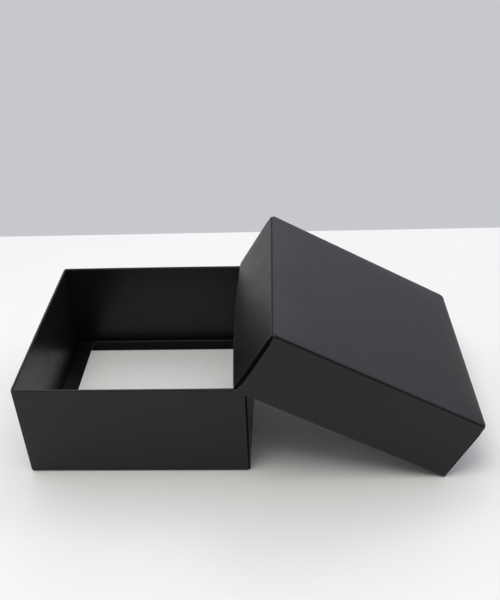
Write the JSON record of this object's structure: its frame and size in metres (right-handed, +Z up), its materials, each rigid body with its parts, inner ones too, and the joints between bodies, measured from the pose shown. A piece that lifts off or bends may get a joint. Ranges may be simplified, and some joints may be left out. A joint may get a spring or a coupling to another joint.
{
  "type": "two-piece gift box",
  "caption": "Open square gift box in folded black board with its lift-off lid leaning on one wall; double walls and inner flaps that fold out.",
  "frame": {"origin": "centre of the underside of the tray, on the table plane", "axes": "+Z up, +X from the tray towards the leaning lid, -Y towards the front wall of the tray"},
  "size_m": [0.402, 0.2096, 0.1554],
  "materials": {
    "black_board": "matte black printed folding boxboard, very slightly soft to the touch",
    "board_reverse": "unprinted pale grey-white reverse of the board"
  },
  "bodies": {
    "tray": {"tray_base_panel": "black_board", "tray_front_outer_wall": "black_board", "tray_front_rim_fold": "black_board", "tray_right_outer_wall": "black_board", "tray_right_rim_fold": "black_board", "tray_back_outer_wall": "black_board", "tray_back_rim_fold": "black_board", "tray_left_outer_wall": "black_board", "tray_left_rim_fold": "black_board", "tray_left_front_corner_tab": "black_board", "tray_left_back_corner_tab": "black_board", "tray_right_front_corner_tab": "black_board", "tray_right_back_corner_tab": "black_board"},
    "lid": {"lid_top_panel": "black_board", "lid_front_outer_wall": "black_board", "lid_front_rim_fold": "black_board", "lid_right_outer_wall": "black_board", "lid_right_rim_fold": "black_board", "lid_back_outer_wall": "black_board", "lid_back_rim_fold": "black_board", "lid_left_outer_wall": "black_board", "lid_left_rim_fold": "black_board", "lid_left_front_corner_tab": "black_board", "lid_left_back_corner_tab": "black_board", "lid_right_front_corner_tab": "black_board", "lid_right_back_corner_tab": "black_board"},
    "tray_front_flap": {"tray_front_inner_wall": "black_board", "tray_front_floor_flange": "black_board"},
    "tray_right_flap": {"tray_right_inner_wall": "black_board", "tray_right_floor_flange": "black_board"},
    "tray_back_flap": {"tray_back_inner_wall": "black_board", "tray_back_floor_flange": "black_board"},
    "tray_left_flap": {"tray_left_inner_wall": "black_board", "tray_left_floor_flange": "black_board"},
    "lid_back_flap": {"lid_back_inner_wall": "black_board", "lid_back_floor_flange": "black_board"},
    "lid_right_flap": {"lid_right_inner_wall": "black_board", "lid_right_floor_flange": "black_board"},
    "lid_front_flap": {"lid_front_inner_wall": "black_board", "lid_front_floor_flange": "black_board"},
    "lid_left_flap": {"lid_left_inner_wall": "black_board", "lid_left_floor_flange": "black_board"}
  },
  "joints": [
    {"name": "lid_lift", "type": "slide", "parent": "tray", "child": "lid", "axis": [0, 0, 1], "range_m": [0, 0.2]},
    {"name": "tray_front_flap_fold", "type": "hinge", "parent": "tray", "child": "tray_front_flap", "pos_m": [0, -0.09895, 0.09395], "axis": [-1, 0, 0], "range_deg": [-90, 0], "deforming": ["tray_front_rim_fold"]},
    {"name": "tray_right_flap_fold", "type": "hinge", "parent": "tray", "child": "tray_right_flap", "pos_m": [0.09895, 0, 0.09395], "axis": [0, 1, 0], "range_deg": [0, 90], "deforming": ["tray_right_rim_fold"]},
    {"name": "tray_back_flap_fold", "type": "hinge", "parent": "tray", "child": "tray_back_flap", "pos_m": [0, 0.09895, 0.09395], "axis": [1, 0, 0], "range_deg": [-90, 0], "deforming": ["tray_back_rim_fold"]},
    {"name": "tray_left_flap_fold", "type": "hinge", "parent": "tray", "child": "tray_left_flap", "pos_m": [-0.09895, 0, 0.09395], "axis": [0, -1, 0], "range_deg": [0, 180], "deforming": ["tray_left_rim_fold"]},
    {"name": "lid_back_flap_fold", "type": "hinge", "parent": "lid", "child": "lid_back_flap", "pos_m": [0.17929, 0.09788, 0.05131], "axis": [-0.8702, -0.0152, 0.4925], "range_deg": [-70, 0], "deforming": ["lid_back_rim_fold"]},
    {"name": "lid_right_flap_fold", "type": "hinge", "parent": "lid", "child": "lid_right_flap", "pos_m": [0.26978, -0.00251, 0.0011], "axis": [0.0175, -0.9998, 0], "range_deg": [0, 90], "deforming": ["lid_right_rim_fold"]},
    {"name": "lid_front_flap_fold", "type": "hinge", "parent": "lid", "child": "lid_front_flap", "pos_m": [0.18284, -0.10599, 0.05131], "axis": [0.8702, 0.0152, -0.4925], "range_deg": [-70, 0], "deforming": ["lid_front_rim_fold"]},
    {"name": "lid_left_flap_fold", "type": "hinge", "parent": "lid", "child": "lid_left_flap", "pos_m": [0.09235, -0.0056, 0.10152], "axis": [-0.0175, 0.9998, 0], "range_deg": [0, 60], "deforming": ["lid_left_rim_fold"]}
  ]
}
